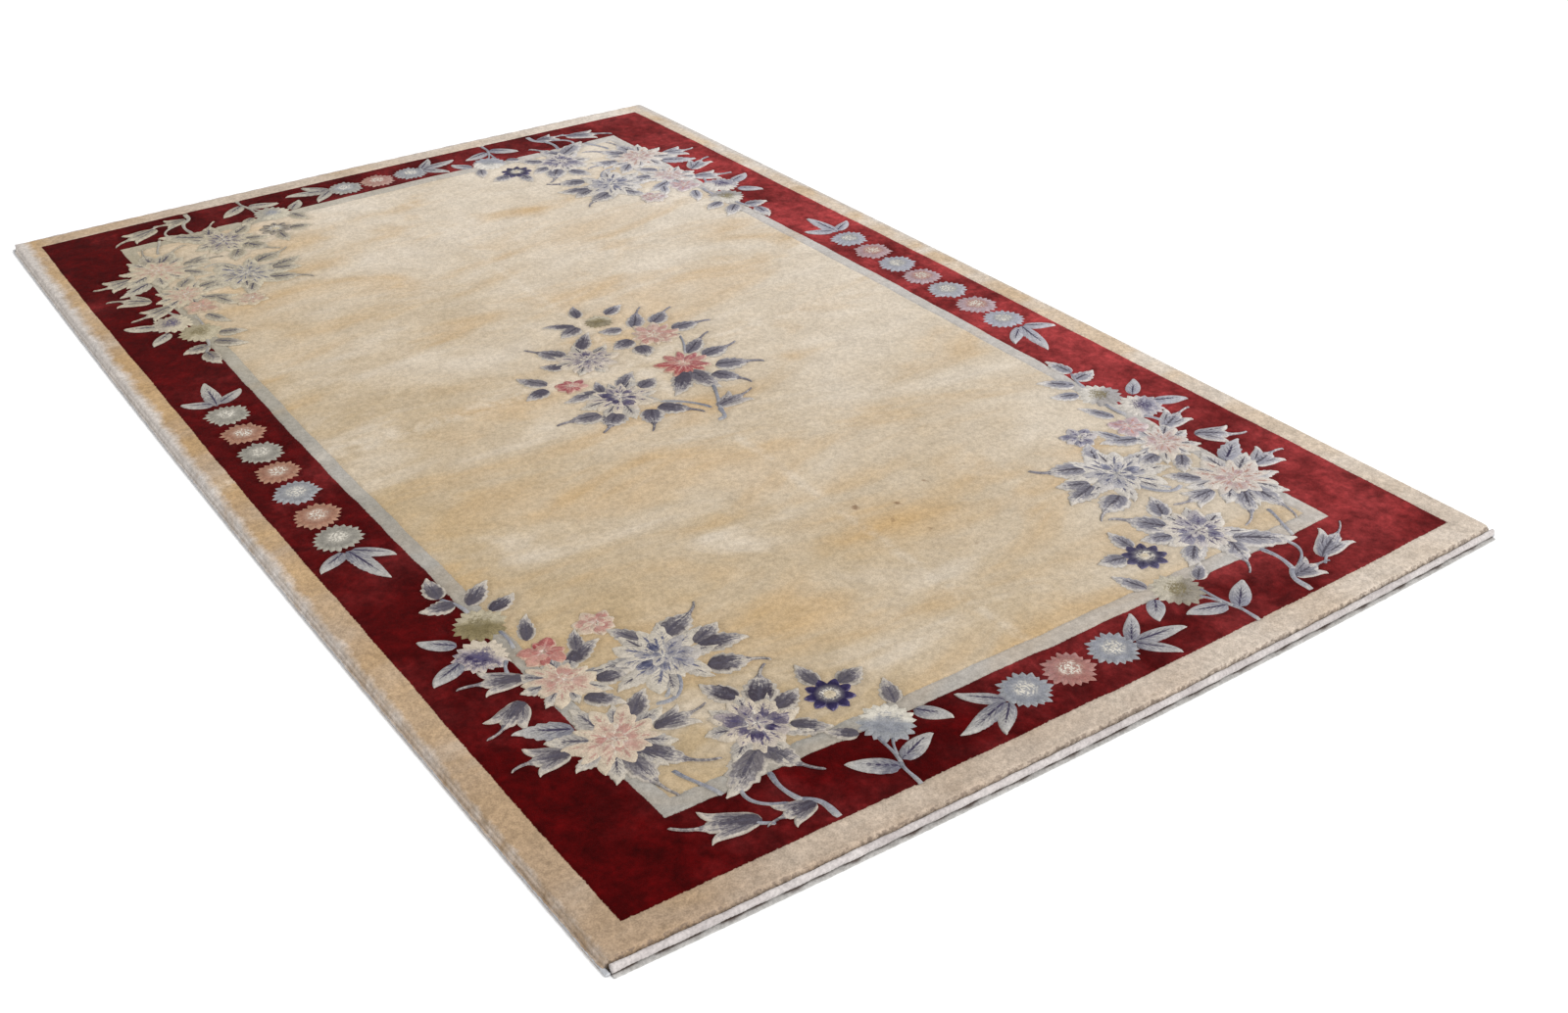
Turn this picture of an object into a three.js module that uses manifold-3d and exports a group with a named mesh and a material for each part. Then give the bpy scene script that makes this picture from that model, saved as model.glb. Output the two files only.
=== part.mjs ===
// Chinese carved silk-pile rug, lying flat.
//
// The rug is one woven cloth: a thin cotton foundation that shows as a narrow web along both short
// ends, and a thick, even silk pile knotted into it. A padded cotton roll is sewn along each short
// end, above the web, and an overcast side cord is whipped along each long edge.
//
// Millimetres. +X along the rug's length, +Y across it, +Z up. The origin is on the floor, at the
// middle of the rug's footprint.

import * as THREE from 'three';
import { mergeVertices } from 'three/addons/utils/BufferGeometryUtils.js';
import Module from 'manifold-3d';

// Driving dimensions
const RUG_THICKNESS = 18; // foundation and pile together
const WEB_THICKNESS = 2.4; // the cotton foundation where no pile is knotted
const WEB_REACH = 12; // how far the web shows past the pile at each short end
const CORD_DIAMETER = 5.4; // overcast side cord
const ROLL_HEIGHT = 13; // padded end roll
const ROLL_DEPTH = 8.4;
const GAP = 0.3; // between neighbouring pieces
const PILE_ROUNDING = 5; // the sheared pile's soft upper edge
const CORNER_ROUNDING = 8; // corners in plan
const STRIP_TRIM = 7; // how far rolls and cords stop short of the corners
const CORD_ROUNDNESS = 10; // sides of a cord's section
const SIDE_STEPS = 26; // straight facets along each side

// The rug's outer corners on the floor. A hand-knotted rug is never quite square.
const CORNERS = {
  nearLeft: { x: 1211, y: -736 },
  nearRight: { x: 1211, y: 741 },
  farRight: { x: -1220, y: 741 },
  farLeft: { x: -1210, y: -739 },
};

// Each side bows outwards between its corners, by this much at its middle.
const SIDES = {
  near: { from: 'nearLeft', to: 'nearRight', bow: 13 },
  right: { from: 'nearRight', to: 'farRight', bow: 8 },
  far: { from: 'farRight', to: 'farLeft', bow: 9 },
  left: { from: 'farLeft', to: 'nearLeft', bow: 11.5 },
};

// How far the pile and the web stand in from the rug's outline on each side
const CORD_ROOM = CORD_DIAMETER + GAP;
const PILE_INSET = { near: WEB_REACH, right: CORD_ROOM, far: WEB_REACH, left: CORD_ROOM };
const WEB_INSET = { near: 0, right: CORD_ROOM, far: 0, left: CORD_ROOM };

function cloth(name, color, roughness) {
  return new THREE.MeshStandardMaterial({ name, color, roughness, metalness: 0 });
}

const silk = cloth('silk_pile', 0xcdb99e, 0.62);
const rollCotton = cloth('end_roll', 0xd9d2c8, 0.8);
const cordCotton = cloth('side_cord', 0xbdb8ae, 0.85);

// A side as a parabola, moved inwards by inset: its two ends and the control point between them.
function sideCurve(name, inset) {
  const { from, to, bow } = SIDES[name];
  const start = new THREE.Vector2(CORNERS[from].x, CORNERS[from].y);
  const end = new THREE.Vector2(CORNERS[to].x, CORNERS[to].y);
  const along = end.clone().sub(start).normalize();
  const outward = new THREE.Vector2(along.y, -along.x);
  start.addScaledVector(outward, -inset);
  end.addScaledVector(outward, -inset);
  const control = start.clone().add(end).multiplyScalar(0.5).addScaledVector(outward, 2 * bow);
  return new THREE.QuadraticBezierCurve(start, control, end);
}

// Where two neighbouring sides would meet if the corner were square.
function squareCorner(sideA, sideB) {
  const a = sideA.getPoint(1);
  const b = sideB.getPoint(0);
  const ta = sideA.getTangent(1);
  const tb = sideB.getTangent(0);
  const cross = ta.x * tb.y - ta.y * tb.x;
  const step = ((b.x - a.x) * tb.y - (b.y - a.y) * tb.x) / cross;
  return a.addScaledVector(ta, step);
}

// The closed outline of the rug with each side moved inwards by its own inset.
function outline(insets) {
  const names = Object.keys(SIDES);
  const curves = names.map((name) => sideCurve(name, insets[name]));
  const corners = curves.map((curve, i) => squareCorner(curve, curves[(i + 1) % curves.length]));
  const shape = new THREE.Shape();
  curves.forEach((curve, i) => {
    const before = corners[(i + corners.length - 1) % corners.length];
    const after = corners[i];
    const along = after.clone().sub(before).normalize();
    const outward = new THREE.Vector2(along.y, -along.x);
    const start = before.clone().addScaledVector(along, CORNER_ROUNDING);
    const end = after.clone().addScaledVector(along, -CORNER_ROUNDING);
    const control = start.clone().add(end).multiplyScalar(0.5);
    control.addScaledVector(outward, 2 * SIDES[names[i]].bow);
    if (i === 0) shape.moveTo(start.x, start.y);
    shape.quadraticCurveTo(control.x, control.y, end.x, end.y);
    const nextAlong = corners[(i + 1) % corners.length].clone().sub(after).normalize();
    const next = after.clone().addScaledVector(nextAlong, CORNER_ROUNDING);
    shape.quadraticCurveTo(after.x, after.y, next.x, next.y);
  });
  return shape;
}

const wasm = await Module();
wasm.setup();

function toSolid(geometry) {
  const bare = geometry.clone();
  bare.deleteAttribute('normal');
  bare.deleteAttribute('uv');
  const merged = mergeVertices(bare, 1e-4);
  return new wasm.Manifold(
    new wasm.Mesh({
      numProp: 3,
      vertProperties: merged.attributes.position.array,
      triVerts: new Uint32Array(merged.index.array),
    }),
  );
}

function toGeometry(solid) {
  const mesh = solid.getMesh();
  const geometry = new THREE.BufferGeometry();
  geometry.setAttribute('position', new THREE.BufferAttribute(new Float32Array(mesh.vertProperties), 3));
  geometry.setIndex(new THREE.BufferAttribute(new Uint32Array(mesh.triVerts), 1));
  geometry.computeVertexNormals();
  return geometry;
}

// The cloth: the pile slab, with a rounded upper edge, on its cotton foundation.
function clothGeometry() {
  const pile = new THREE.ExtrudeGeometry(outline(PILE_INSET), {
    depth: RUG_THICKNESS - PILE_ROUNDING,
    curveSegments: SIDE_STEPS,
    bevelEnabled: true,
    bevelThickness: PILE_ROUNDING,
    bevelSize: PILE_ROUNDING,
    bevelOffset: -PILE_ROUNDING,
    bevelSegments: 3,
  });
  const web = new THREE.ExtrudeGeometry(outline(WEB_INSET), {
    depth: WEB_THICKNESS,
    curveSegments: SIDE_STEPS,
    bevelEnabled: false,
  });
  const room = 2 * RUG_THICKNESS;
  const below = new THREE.BoxGeometry(3000, 2000, room).translate(0, 0, -room / 2);
  return toGeometry(toSolid(pile).add(toSolid(web)).subtract(toSolid(below)));
}

// A strip of oval section that follows one side, centred at the given height and inset.
function stripGeometry(side, { inset, height, centreHeight, depth, trim }) {
  const curve = sideCurve(side, inset);
  const length = curve.getLength();
  const from = curve.getPointAt(trim / length);
  const to = curve.getPointAt(1 - trim / length);
  const middle = curve.getPointAt(0.5);
  const control = middle.clone().multiplyScalar(2).addScaledVector(from, -0.5).addScaledVector(to, -0.5);
  const lift = (p) => new THREE.Vector3(p.x, p.y, centreHeight);
  const path = new THREE.QuadraticBezierCurve3(lift(from), lift(control), lift(to));
  const section = new THREE.Shape();
  section.absellipse(0, 0, height / 2, depth / 2, 0, 2 * Math.PI);
  return new THREE.ExtrudeGeometry(section, {
    steps: SIDE_STEPS,
    curveSegments: CORD_ROUNDNESS,
    extrudePath: path,
  });
}

function piece(name, geometry, material) {
  const mesh = new THREE.Mesh(geometry, material);
  mesh.name = name;
  return mesh;
}

const rug = new THREE.Group();
rug.add(piece('rug_cloth', clothGeometry(), silk));

for (const side of ['near', 'far']) {
  const roll = stripGeometry(side, {
    inset: WEB_REACH - GAP - ROLL_DEPTH / 2,
    height: ROLL_HEIGHT,
    centreHeight: WEB_THICKNESS + GAP + ROLL_HEIGHT / 2,
    depth: ROLL_DEPTH,
    trim: STRIP_TRIM,
  });
  rug.add(piece(`end_roll_${side}`, roll, rollCotton));
}

for (const side of ['left', 'right']) {
  const cord = stripGeometry(side, {
    inset: CORD_DIAMETER / 2,
    height: CORD_DIAMETER,
    centreHeight: CORD_DIAMETER / 2,
    depth: CORD_DIAMETER,
    trim: STRIP_TRIM,
  });
  rug.add(piece(`side_cord_${side}`, cord, cordCotton));
}

export default rug;
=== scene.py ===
import math
import random
from collections import namedtuple

import bmesh
import bpy
from mathutils import Matrix, Vector
from mathutils.kdtree import KDTree


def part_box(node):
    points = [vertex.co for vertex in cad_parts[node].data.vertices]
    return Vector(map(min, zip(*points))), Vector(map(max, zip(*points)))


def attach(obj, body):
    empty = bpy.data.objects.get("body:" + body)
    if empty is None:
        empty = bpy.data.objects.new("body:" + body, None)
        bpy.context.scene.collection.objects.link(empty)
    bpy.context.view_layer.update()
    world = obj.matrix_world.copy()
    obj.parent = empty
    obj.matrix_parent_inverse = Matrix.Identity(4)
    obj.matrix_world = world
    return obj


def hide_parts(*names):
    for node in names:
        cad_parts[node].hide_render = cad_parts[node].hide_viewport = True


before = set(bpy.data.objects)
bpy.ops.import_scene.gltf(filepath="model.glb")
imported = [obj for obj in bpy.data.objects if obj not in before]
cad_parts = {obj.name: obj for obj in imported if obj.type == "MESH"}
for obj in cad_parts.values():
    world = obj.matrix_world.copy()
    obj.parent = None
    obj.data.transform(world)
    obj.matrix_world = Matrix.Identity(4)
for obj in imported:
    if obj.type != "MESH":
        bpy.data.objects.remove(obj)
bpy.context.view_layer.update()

MM = 0.001

# The camera, at the photograph's viewing angle
LENS_MM = 39.9
SENSOR_MM = 36.0
CAMERA_PLACE = (2.3849, -1.3055, 1.3495)
CAMERA_RIGHT = (0.5688748, 0.82231493, -0.01340197)
CAMERA_UP = (-0.41752754, 0.30280699, 0.85672556)
CAMERA_BACK = (0.70855643, -0.48177389, 0.5155984)


def place_camera():
    data = bpy.data.cameras.new("camera")
    data.lens = LENS_MM
    data.sensor_width = SENSOR_MM
    data.sensor_fit = "HORIZONTAL"
    data.clip_end = 60
    camera = bpy.data.objects.new("camera", data)
    turn = Matrix((CAMERA_RIGHT, CAMERA_UP, CAMERA_BACK)).transposed().to_4x4()
    camera.matrix_world = Matrix.Translation(CAMERA_PLACE) @ turn
    bpy.context.collection.objects.link(camera)
    bpy.context.scene.camera = camera


place_camera()

# The rug's main sizes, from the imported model
PILE_TOP = Vector(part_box("rug_cloth")[1]).z
WEB_REACH = 12 * MM
WEB_THICKNESS = 2.4 * MM
PILE_ROUNDING = 5 * MM
CORNER_ROUNDING = 8 * MM
STRIP_TRIM = 7 * MM

# The pile's four corners on the plan, and how far each side bows out between them
PILE_CORNERS = {
    "near_left": Vector((1.199, -0.7303)),
    "near_right": Vector((1.199, 0.7353)),
    "far_left": Vector((-1.198, -0.7333)),
    "far_right": Vector((-1.208, 0.7353)),
}
PILE_BOWS = {"near": 13 * MM, "right": 8 * MM, "far": 9 * MM, "left": 11.5 * MM}

# The drawing that the knots follow is a true rectangle, of this half length and half width
DRAWN_X = 1.2
DRAWN_Y = 0.7335

# Half sizes of the drawing's bands, from the rim inwards
Band = namedtuple("Band", "half_x half_y")
RED_OUTER = Band(1.1555, 0.692)
STRIPE_OUTER = Band(1.039, 0.565)
STRIPE_INNER = Band(1.011, 0.541)
BANDS = (RED_OUTER, STRIPE_OUTER, STRIPE_INNER)

# Carving: a narrow line along each band, and a sunk bed round each motif
LINE_HALF = 2 * MM
LINE_DEPTH = 1.5 * MM
BED_DEPTH = 1.6 * MM
BED_FULL = 2 * MM
BED_END = 5.5 * MM
CROWN = 0.5 * MM
MOTIF_UNDERSIDE = PILE_TOP - 5 * MM
GROUND_PITCH = 4.25 * MM


def linear(hex_code):
    """An sRGB hex colour as Blender's linear one."""
    parts = (int(hex_code[i:i + 2], 16) / 255 for i in (1, 3, 5))
    return (*((p / 12.92 if p <= 0.04045 else ((p + 0.055) / 1.055) ** 2.4) for p in parts), 1.0)


def first_output(value):
    if isinstance(value, bpy.types.Node):
        return next(socket for socket in value.outputs if socket.enabled)
    return value


def add(tree, kind, inputs=None, **settings):
    """Add a shader node. An input is a value, a hex colour, a socket, or a node with its first output."""
    node = tree.nodes.new(f"ShaderNode{kind}")
    for name, value in settings.items():
        setattr(node, name, value)
    for key, value in (inputs or {}).items():
        if isinstance(key, str):
            socket = next(s for s in node.inputs if s.enabled and s.name == key)
        else:
            socket = node.inputs[key]
        source = linear(value) if isinstance(value, str) else first_output(value)
        if isinstance(source, bpy.types.NodeSocket):
            tree.links.new(source, socket)
        else:
            socket.default_value = source
    return node


def new_material(name):
    material = bpy.data.materials.new(name)
    material.use_nodes = True
    tree = material.node_tree
    tree.nodes.clear()
    return material, tree


def finish_material(tree, shader):
    add(tree, "OutputMaterial", {"Surface": shader})


def finish_silk(tree, colour, shade, bump):
    """Shade the dye and finish it. Silk's shine is painted into the dye as its nap's sheen, so the surface
    itself is nearly matt.
    """
    colour = add(tree, "VectorMath", {0: colour, 3: shade}, operation="SCALE")
    inputs = {"Base Color": colour, "Normal": bump, "Roughness": 0.7, "Specular IOR Level": 0.03}
    finish_material(tree, add(tree, "BsdfPrincipled", inputs))


def smooth(value, low, high):
    """0 below low, 1 above high, and a smooth step between."""
    x = min(1.0, max(0.0, (value - low) / (high - low)))
    return x * x * (3 - 2 * x)


# Nap: silk looks pale where its pile leans away from the light and deep where it leans towards it.
# Here that sheen is painted into the colour. On this rug it follows the rug's width, from the deep left side
# to the pale right one.
NapSheen = namedtuple("NapSheen", "middle sideways lengthways swing")
CREAM_NAP_SHEEN = NapSheen(0.46, 0.6, -0.05, 1.1)
FIELD_NAP_SHEEN = NapSheen(0.48, 0.5, -0.22, 1.1)
RED_NAP_SHEEN = NapSheen(0.37, 0.56, 0.02, 2.5)
MOTIF_NAP_SHEEN = NapSheen(0.48, 0.72, 0.0, 1.0)


def add_nap_sheen(tree, place, nap_sheen):
    """How pale the nap's painted sheen makes the silk, from 0 to 1, with soft patches of painted sheen where
    the pile was trodden.
    """
    parts = add(tree, "SeparateXYZ", {"Vector": place}).outputs
    lean = add(tree, "Math", {0: parts["Y"], 1: nap_sheen.sideways, 2: nap_sheen.middle}, operation="MULTIPLY_ADD")
    lean = add(tree, "Math", {0: parts["X"], 1: nap_sheen.lengthways, 2: lean}, operation="MULTIPLY_ADD")
    patches = add(tree, "TexNoise", {"Vector": place, "Scale": 3.4, "Detail": 8.0, "Roughness": 0.65})
    swing = add(tree, "Math", {0: patches, 1: 0.5}, operation="SUBTRACT")
    swing = add(tree, "Math", {0: swing, 1: nap_sheen.swing, 2: lean}, operation="MULTIPLY_ADD")
    return add(tree, "Clamp", {"Value": swing})


def add_fibres(tree, place):
    """The cut ends of the knots. Real ones are under a millimetre apart, drawn at 2 mm so that they show."""
    grain = add(tree, "TexNoise", {"Vector": place, "Scale": 480.0, "Detail": 2.0, "Roughness": 0.6})
    tufts = add(tree, "TexNoise", {"Vector": place, "Scale": 130.0, "Detail": 2.0, "Roughness": 0.5})
    both = add(tree, "Math", {0: tufts, 1: 0.8, 2: grain}, operation="MULTIPLY_ADD")
    return both, add(tree, "Bump", {"Height": both, "Strength": 1.0, "Distance": FIBRE_RELIEF})


def inside_band(tree, across_x, across_y, stray, band):
    """1 inside a band's rectangle and 0 outside it, with an edge as uneven as the knots."""
    over_x = add(tree, "Math", {0: across_x, 1: band.half_x}, operation="SUBTRACT")
    over_y = add(tree, "Math", {0: across_y, 1: band.half_y}, operation="SUBTRACT")
    over = add(tree, "Math", {0: over_x, 1: over_y}, operation="MAXIMUM")
    over = add(tree, "Math", {0: over, 1: stray}, operation="ADD")
    edge = {"From Min": -0.5 * MM, "From Max": 0.5 * MM, "To Min": 1.0, "To Max": 0.0}
    return add(tree, "MapRange", {"Value": over, **edge})


# Ground silks: each has a painted shaded deep look and a painted sheen-lit pale one, between which the nap's
# painted sheen moves it
GroundSilk = namedtuple("GroundSilk", "deep pale")
GUARD_SILK = GroundSilk("#a48e78", "#d5cbc0")
RED_SILK = GroundSilk("#440203", "#9a3a3b")
STRIPE_SILK = GroundSilk("#979289", "#c2bdb9")
FIELD_SILK = GroundSilk("#af9a7a", "#d5cabb")
GOLD_TINT = "#bb955c"
WORN_TINT = "#d3c9bb"
# Painted sheen on the rims where the pile turns over
RIM_SHEEN_TINT = "#c2bdb9"
# Painted shadow under the pile's edge at both ends
DASH_SHADOW_TINT = "#74655b"
STAIN_TINT = "#6b4a33"
STRIPE_AGED_TINT = "#a2987f"
# Painted shadow under the end roll
ROLL_SHADOW_TINT = "#50413a"
EYE_TINT = "#ccc6ba"
MOTIF_AGED_TINT = "#aea48c"
# How steeply the red's painted sheen rises from deep to pale
RED_SHEEN_CONTRAST = 1.9

# Painted sheen: the colours the nap's sheen turns a motif to, its body, and its pale tips and edges
SHEEN_LIT_BODY = "#b6b6c2"
SHEEN_LIT_TIPS = "#d6d2cf"

# Where age has yellowed the rug most, and where the field is stained
FAR_LEFT = (-0.95, -0.6, PILE_TOP)
STAINED = (0.66, 0.1, PILE_TOP)

# The ranges that most of a noise's values and most of the fibres' values lie in
NOISE_SPREAD = {"From Min": 0.3, "From Max": 0.7}
FIBRE_SPREAD = {"From Min": 0.65, "From Max": 1.15}
FIBRE_RELIEF = 0.5 * MM
THREAD_RELIEF = 0.25 * MM


def add_far_left(tree, place, start, full, most):
    """The most at the rug's far left, where age has yellowed it, and 0 from the start on, in metres."""
    far = add(tree, "VectorMath", {0: place, 1: FAR_LEFT}, operation="DISTANCE").outputs["Value"]
    return add(tree, "MapRange", {"Value": far, "From Min": start, "From Max": full, "To Max": most})


def make_ground_material():
    """Sheared silk pile in four dyes: matt, deep and soft, with its nap's sheen painted in, and worn and
    golden patches in its nap.
    """
    material, tree = new_material("sheared_silk_pile")
    place = add(tree, "TexCoord").outputs["Object"]
    drawn = add(tree, "Attribute", attribute_name="drawn").outputs["Vector"]
    parts = add(tree, "SeparateXYZ", {"Vector": drawn}).outputs
    across_x = add(tree, "Math", {0: parts["X"]}, operation="ABSOLUTE")
    across_y = add(tree, "Math", {0: parts["Y"]}, operation="ABSOLUTE")
    nap_sheen = add_nap_sheen(tree, place, CREAM_NAP_SHEEN)
    brushed = add(tree, "VectorMath", {0: place, 1: (8.0, 3.0, 1.0)}, operation="MULTIPLY")
    brushed = add(tree, "TexNoise", {"Vector": brushed, "Scale": 1.0, "Detail": 7.0, "Distortion": 0.7})
    marbled = {"Vector": place, "Scale": 24.0, "Detail": 6.0, "Roughness": 0.65, "Distortion": 0.5}
    marbled = add(tree, "TexNoise", marbled)

    # The four dyes, band inside band
    stray = add(tree, "TexNoise", {"Vector": place, "Scale": 260.0, "Detail": 2.0})
    stray = add(tree, "Math", {0: stray, 1: 3.0 * MM, 2: -1.5 * MM}, operation="MULTIPLY_ADD")
    inside = [inside_band(tree, across_x, across_y, stray, band) for band in BANDS]
    # Painted sheen on the red: paler towards the rug's middle, with its contrast raised
    lifted = add(tree, "MapRange", {"Value": across_x, "From Min": 1.0, "From Max": 0.3, "To Max": 0.16})
    red_nap_sheen = add(tree, "Math", {0: add_nap_sheen(tree, place, RED_NAP_SHEEN), 1: lifted}, operation="ADD")
    red_nap_sheen = add(tree, "Math", {0: red_nap_sheen, 1: RED_SHEEN_CONTRAST}, operation="POWER")
    nap_sheens = (red_nap_sheen, nap_sheen, add_nap_sheen(tree, place, FIELD_NAP_SHEEN))
    colour = add(tree, "Mix", {"Factor": nap_sheen, "A": GUARD_SILK.deep, "B": GUARD_SILK.pale}, data_type="RGBA")
    for mask, own_nap_sheen, silk in zip(inside, nap_sheens, (RED_SILK, STRIPE_SILK, FIELD_SILK)):
        own = add(tree, "Mix", {"Factor": own_nap_sheen, "A": silk.deep, "B": silk.pale}, data_type="RGBA")
        colour = add(tree, "Mix", {"Factor": mask, "A": colour, "B": own}, data_type="RGBA")

    # Golden and worn patches of the cream silk, brushed across the rug
    red_only = add(tree, "Math", {0: inside[0], 1: inside[1]}, operation="SUBTRACT")
    cream_only = add(tree, "Math", {0: 1.0, 1: red_only}, operation="SUBTRACT")
    field_share = add(tree, "Math", {0: inside[2], 1: 0.55, 2: 0.45}, operation="MULTIPLY_ADD")
    aged = add(tree, "Math", {0: cream_only, 1: field_share}, operation="MULTIPLY")
    gold = add(tree, "MapRange", {"Value": brushed, "From Min": 0.5, "From Max": 0.74, "To Max": 0.6})
    gold = add(tree, "Math", {0: gold, 1: aged}, operation="MULTIPLY")
    yellowed = add(tree, "MapRange", {"Value": across_y, "From Min": 0.64, "From Max": 0.70, "To Max": 0.5})
    for value, low, high in ((brushed, 0.32, 0.58), (parts["X"], 1.5, 0.2)):
        share = add(tree, "MapRange", {"Value": value, "From Min": low, "From Max": high})
        yellowed = add(tree, "Math", {0: yellowed, 1: share}, operation="MULTIPLY")
    yellowed = add(tree, "Math", {0: yellowed, 1: cream_only}, operation="MULTIPLY")
    gold = add(tree, "Math", {0: gold, 1: yellowed}, operation="MAXIMUM")
    worn = add(tree, "MapRange", {"Value": brushed, "From Min": 0.47, "From Max": 0.3, "To Max": 0.55})
    worn = add(tree, "Math", {0: worn, 1: aged}, operation="MULTIPLY")

    # Two broken creases from folding, along the rug's middle lines
    creases = [
        add(tree, "MapRange", {"Value": across, "From Min": half, "From Max": 0.2 * half, "To Max": most})
        for across, half, most in ((across_x, 0.03, 0.4), (across_y, 0.014, 0.3))
    ]
    folded = add(tree, "Math", {0: creases[0], 1: creases[1]}, operation="MAXIMUM")
    broken = add(tree, "MapRange", {"Value": marbled, "From Min": 0.4, "From Max": 0.6})
    for share in (broken, cream_only):
        folded = add(tree, "Math", {0: folded, 1: share}, operation="MULTIPLY")

    # The stripe has yellowed at the far left
    stripe_only = add(tree, "Math", {0: inside[1], 1: inside[2]}, operation="SUBTRACT")
    faded = add_far_left(tree, place, 0.9, 0.2, 0.6)
    faded = add(tree, "Math", {0: faded, 1: stripe_only}, operation="MULTIPLY")

    # The rims: painted sheen, pale where the pile turns over, most at the far left; and at both ends a broken
    # line of painted shadow
    rim_sheen_shift = add(tree, "VectorMath", {0: place, 1: (-11 * MM, -2 * MM, 0)}, operation="DOT_PRODUCT")
    rim = add(tree, "Math", {0: stray, 1: across_y}, operation="ADD")
    rim = add(tree, "Math", {0: rim, 1: rim_sheen_shift.outputs["Value"]}, operation="ADD")
    rim = add(tree, "Math", {0: marbled, 1: 34 * MM, 2: rim}, operation="MULTIPLY_ADD")
    rim_sheen_edge = {"From Min": DRAWN_Y + 2 * MM, "From Max": DRAWN_Y + 18 * MM, "To Max": 0.85}
    rim = add(tree, "MapRange", {"Value": rim, **rim_sheen_edge})
    # Painted shadow: a broken dark line at both ends, under the pile's edge
    dash_shadow_edge = {"From Min": DRAWN_X - 2.6 * MM, "From Max": DRAWN_X - 1.6 * MM, "To Max": 0.6}
    dash_shadow = add(tree, "MapRange", {"Value": across_x, **dash_shadow_edge})
    knots = add(tree, "TexNoise", {"Vector": place, "Scale": 170.0, "Detail": 2.0})
    knots = add(tree, "MapRange", {"Value": knots, "From Min": 0.46, "From Max": 0.56})
    dash_shadow = add(tree, "Math", {0: dash_shadow, 1: knots}, operation="MULTIPLY")

    # A few small stains on the field
    blots = add(tree, "TexNoise", {"Vector": place, "Scale": 34.0, "Detail": 2.0})
    blots = add(tree, "MapRange", {"Value": blots, "From Min": 0.69, "From Max": 0.77, "To Max": 0.65})
    near = add(tree, "VectorMath", {0: place, 1: STAINED}, operation="DISTANCE").outputs["Value"]
    near = add(tree, "MapRange", {"Value": near, "From Min": 0.2, "From Max": 0.12})
    stained = add(tree, "Math", {0: blots, 1: near}, operation="MULTIPLY")

    tints = (
        (gold, GOLD_TINT), (worn, WORN_TINT), (folded, WORN_TINT), (faded, STRIPE_AGED_TINT),
        (rim, RIM_SHEEN_TINT), (dash_shadow, DASH_SHADOW_TINT), (stained, STAIN_TINT),
    )
    for share, tint in tints:
        colour = add(tree, "Mix", {"Factor": share, "A": colour, "B": tint}, data_type="RGBA")

    # Light and shade from knot to knot: finer and stronger on the red, and painted shade in the sunk beds
    fibres, bump = add_fibres(tree, place)
    shade = add(tree, "MapRange", {"Value": fibres, **FIBRE_SPREAD, "To Min": 0.81, "To Max": 1.15})
    cloudy = add(tree, "MapRange", {"Value": marbled, **NOISE_SPREAD, "To Min": 0.76, "To Max": 1.22})
    fine = add(tree, "TexNoise", {"Vector": place, "Scale": 85.0, "Detail": 4.0, "Roughness": 0.6})
    fine = add(tree, "MapRange", {"Value": fine, **NOISE_SPREAD, "To Min": 0.74, "To Max": 1.28})
    cloudy_red = add(tree, "Math", {0: cloudy, 1: cloudy}, operation="MULTIPLY")
    cloudy_red = add(tree, "Math", {0: cloudy_red, 1: fine}, operation="MULTIPLY")
    cloudy_share = add(tree, "MapRange", {"Value": inside[0], "To Min": 0.55, "To Max": 0.35})
    cloudy_cream = add(tree, "Mix", {"Factor": cloudy_share, "A": 1.0, "B": cloudy})
    cloudy = add(tree, "Mix", {"Factor": red_only, "A": cloudy_cream, "B": cloudy_red})
    sunk = add(tree, "Attribute", attribute_name="sunk").outputs["Fac"]
    # Painted shade: the pile darkened where it sinks into the beds round the motifs
    dark = add(tree, "Math", {0: sunk, 1: -0.12, 2: 1.0}, operation="MULTIPLY_ADD")
    coarse_share = add(tree, "MapRange", {"Value": inside[0], "To Min": 0.4, "To Max": 0.0})
    coarse = add(tree, "Mix", {"Factor": coarse_share, "A": 1.0, "B": shade})
    shade = add(tree, "Math", {0: shade, 1: coarse}, operation="MULTIPLY")
    cloudy = add(tree, "Math", {0: cloudy, 1: dark}, operation="MULTIPLY")
    shade = add(tree, "Math", {0: shade, 1: cloudy}, operation="MULTIPLY")
    finish_silk(tree, colour, shade, bump)
    return material
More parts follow.
